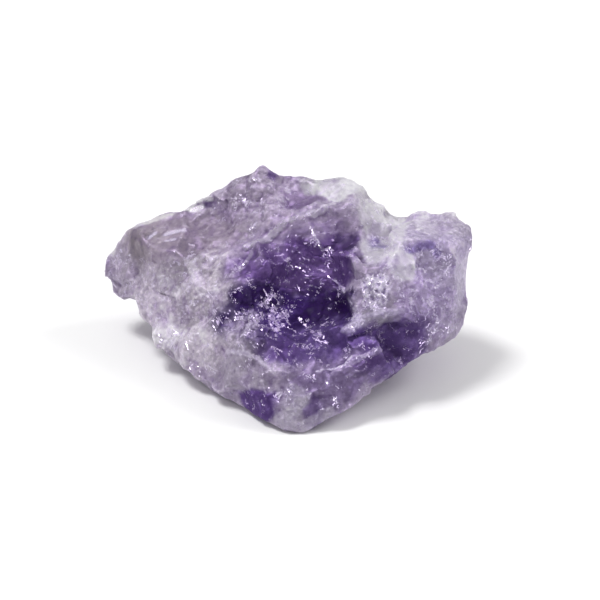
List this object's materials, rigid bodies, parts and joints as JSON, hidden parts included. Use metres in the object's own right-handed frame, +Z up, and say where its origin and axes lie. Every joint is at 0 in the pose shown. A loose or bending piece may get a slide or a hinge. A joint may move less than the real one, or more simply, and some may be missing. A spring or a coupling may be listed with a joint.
{
  "type": "rough amethyst lump",
  "caption": "Rough broken lump of amethyst with a deep violet hollow between a pale right block and a greyish left flank, resting on a small flat of its underside.",
  "frame": {"origin": "middle of the length and of the depth, at the height of the flat that the stone lies on", "axes": "+X along the length, from the pointed tip to the blunt block; -Y towards the side that the picture shows, with the violet hollow and the low toe; +Z up"},
  "size_m": [0.052, 0.034, 0.025],
  "materials": {
    "amethyst": "freshly broken, glassy and partly see-through"
  },
  "bodies": {
    "root": {"rough_amethyst": "amethyst"}
  },
  "joints": []
}
